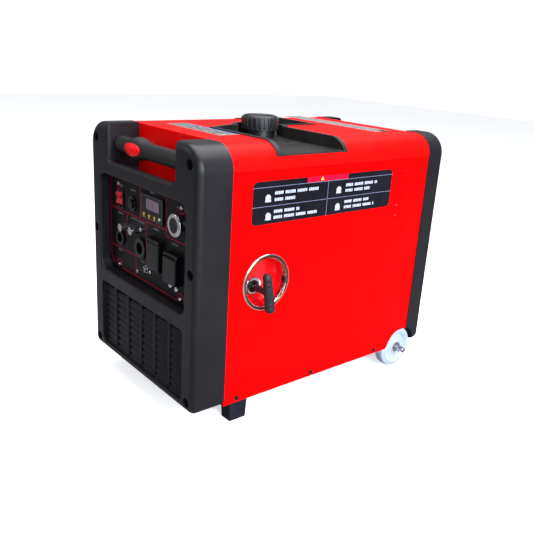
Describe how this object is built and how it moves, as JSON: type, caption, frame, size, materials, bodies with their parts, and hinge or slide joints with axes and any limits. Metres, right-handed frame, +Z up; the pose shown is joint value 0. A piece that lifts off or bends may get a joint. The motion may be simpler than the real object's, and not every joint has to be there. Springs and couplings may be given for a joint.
{
  "type": "portable generator",
  "caption": "Portable generator in a closed red and black case with a pull-out trolley handle, wheels, control panel, pull starter and fuel cap.",
  "frame": {"origin": "on the floor under the middle of the case", "axes": "+Z up, the control panel faces -Y, the pull starter faces +X"},
  "size_m": [0.4022, 0.597, 0.5205],
  "materials": {
    "red_paint": "gloss powder coat",
    "black_paint": "satin",
    "black_plastic": "satin moulded",
    "panel_plastic": "fine grain",
    "gloss_black": "polished",
    "red_plastic": "glossy",
    "white_plastic": "glossy",
    "wheel_plastic": "satin",
    "foot_rubber": "matte",
    "grip_rubber": "satin",
    "bright_steel": "polished",
    "zinc_steel": "zinc plated",
    "cast_aluminium": "as cast",
    "cast_iron": "bare",
    "rope": "braided",
    "screen_glass": "display",
    "brass": "bare"
  },
  "bodies": {
    "case": {"base_pan": "black_paint", "front_frame": "black_plastic", "rear_frame": "black_plastic", "top_cover": "red_paint", "right_side_panel": "red_paint", "left_side_panel": "red_paint", "front_grille": "black_plastic", "rear_grille": "black_plastic", "control_panel": "panel_plastic", "case_screws": "zinc_steel", "panel_screws": "zinc_steel", "front_feet": "foot_rubber", "wheel_axle": "zinc_steel", "wheel_fasteners": "zinc_steel", "handle_guides": "zinc_steel", "spill_tray": "black_plastic", "filler_neck": "black_plastic", "fuel_tank": "black_paint", "recoil_bezel": "bright_steel", "recoil_cup": "red_plastic", "rope_guide": "gloss_black", "recoil_housing": "cast_aluminium", "stator": "brass", "engine_block": "cast_aluminium", "cylinder_head": "cast_aluminium", "engine_mounts": "foot_rubber", "muffler": "zinc_steel", "carburettor": "cast_aluminium", "air_cleaner": "black_plastic", "inverter_module": "cast_aluminium", "battery": "black_plastic", "switch_bezels": "gloss_black", "meter_case": "gloss_black", "meter_screen": "screen_glass", "start_ring": "bright_steel", "terminal_posts": "zinc_steel", "round_sockets": "gloss_black", "ac_outlet": "gloss_black", "power_outlet": "gloss_black", "ground_terminal": "zinc_steel"},
    "wheel_right": {"right_wheel": "wheel_plastic"},
    "wheel_left": {"left_wheel": "wheel_plastic"},
    "trolley_handle": {"handle_rods": "bright_steel", "handle_grip": "grip_rubber"},
    "release": {"release_button": "red_plastic"},
    "cap_plug": {"cap_insert": "black_plastic"},
    "cap": {"fuel_cap": "black_plastic"},
    "starter_grip": {"recoil_grip": "grip_rubber", "starter_rope": "rope"},
    "starter_pulley": {"recoil_pulley": "black_plastic"},
    "crank": {"crankshaft": "zinc_steel", "flywheel_fan": "cast_iron"},
    "rocker": {"rocker_switch": "red_plastic"},
    "breaker": {"breaker_button": "gloss_black"},
    "meter_key": {"meter_button": "white_plastic"},
    "start_key": {"start_button": "gloss_black"},
    "post_cap_left": {"left_post_cap": "bright_steel"},
    "post_cap_right": {"right_post_cap": "bright_steel"},
    "ac_cover": {"ac_outlet_cover": "gloss_black"},
    "power_cover": {"power_outlet_cover": "gloss_black"}
  },
  "joints": [
    {"name": "right_wheel_spin", "type": "hinge", "parent": "case", "child": "wheel_right", "pos_m": [0.165, 0.231, 0.044], "axis": [1, 0, 0], "continuous": true},
    {"name": "left_wheel_spin", "type": "hinge", "parent": "case", "child": "wheel_left", "pos_m": [-0.165, 0.231, 0.044], "axis": [1, 0, 0], "continuous": true},
    {"name": "handle_slide", "type": "slide", "parent": "case", "child": "trolley_handle", "axis": [0, -1, 0], "range_m": [0, 0.3]},
    {"name": "release_press", "type": "slide", "parent": "trolley_handle", "child": "release", "axis": [0, 1, 0], "range_m": [0, 0.003], "stiffness_N_per_m": 600, "springref_m": -0.002},
    {"name": "cap_lift", "type": "slide", "parent": "case", "child": "cap_plug", "axis": [0, 0, 1], "range_m": [0, 0.06]},
    {"name": "cap_turn", "type": "hinge", "parent": "cap_plug", "child": "cap", "pos_m": [-0.025, -0.02, 0.505], "axis": [0, 0, 1], "range_deg": [0, 90]},
    {"name": "starter_pull", "type": "slide", "parent": "case", "child": "starter_grip", "axis": [1, 0, 0], "range_m": [0, 0.135], "stiffness_N_per_m": 60, "springref_m": -0.15},
    {"name": "starter_pulley_spin", "type": "hinge", "parent": "case", "child": "starter_pulley", "pos_m": [0, -0.16, 0.1978], "axis": [0, 1, 0], "range_deg": [0, 149]},
    {"name": "crank_spin", "type": "hinge", "parent": "case", "child": "crank", "pos_m": [0, -0.1, 0.1978], "axis": [0, 1, 0], "continuous": true},
    {"name": "rocker_tip", "type": "hinge", "parent": "case", "child": "rocker", "pos_m": [-0.104, -0.277, 0.363], "axis": [-1, 0, 0], "range_deg": [0, 12]},
    {"name": "breaker_trip", "type": "slide", "parent": "case", "child": "breaker", "axis": [0, -1, 0], "range_m": [0, 0.003]},
    {"name": "meter_press", "type": "slide", "parent": "case", "child": "meter_key", "axis": [0, 1, 0], "range_m": [0, 0.001], "stiffness_N_per_m": 500, "springref_m": -0.001},
    {"name": "start_press", "type": "slide", "parent": "case", "child": "start_key", "axis": [0, 1, 0], "range_m": [0, 0.002], "stiffness_N_per_m": 800, "springref_m": -0.002},
    {"name": "left_post_turn", "type": "hinge", "parent": "case", "child": "post_cap_left", "pos_m": [-0.077, -0.2875, 0.3155], "axis": [0, -1, 0], "range_deg": [0, 360]},
    {"name": "right_post_turn", "type": "hinge", "parent": "case", "child": "post_cap_right", "pos_m": [-0.039, -0.2875, 0.318], "axis": [0, -1, 0], "range_deg": [0, 360]},
    {"name": "ac_cover_swing", "type": "hinge", "parent": "case", "child": "ac_cover", "pos_m": [0.029, -0.2851, 0.316], "axis": [-1, 0, 0], "range_deg": [0, 110]},
    {"name": "power_cover_swing", "type": "hinge", "parent": "case", "child": "power_cover", "pos_m": [0.09, -0.2861, 0.307], "axis": [-1, 0, 0], "range_deg": [0, 110]}
  ],
  "couplings": [
    {"joint": "starter_pulley_spin", "follows": "starter_pull", "rad_per_m": 19.157}
  ]
}
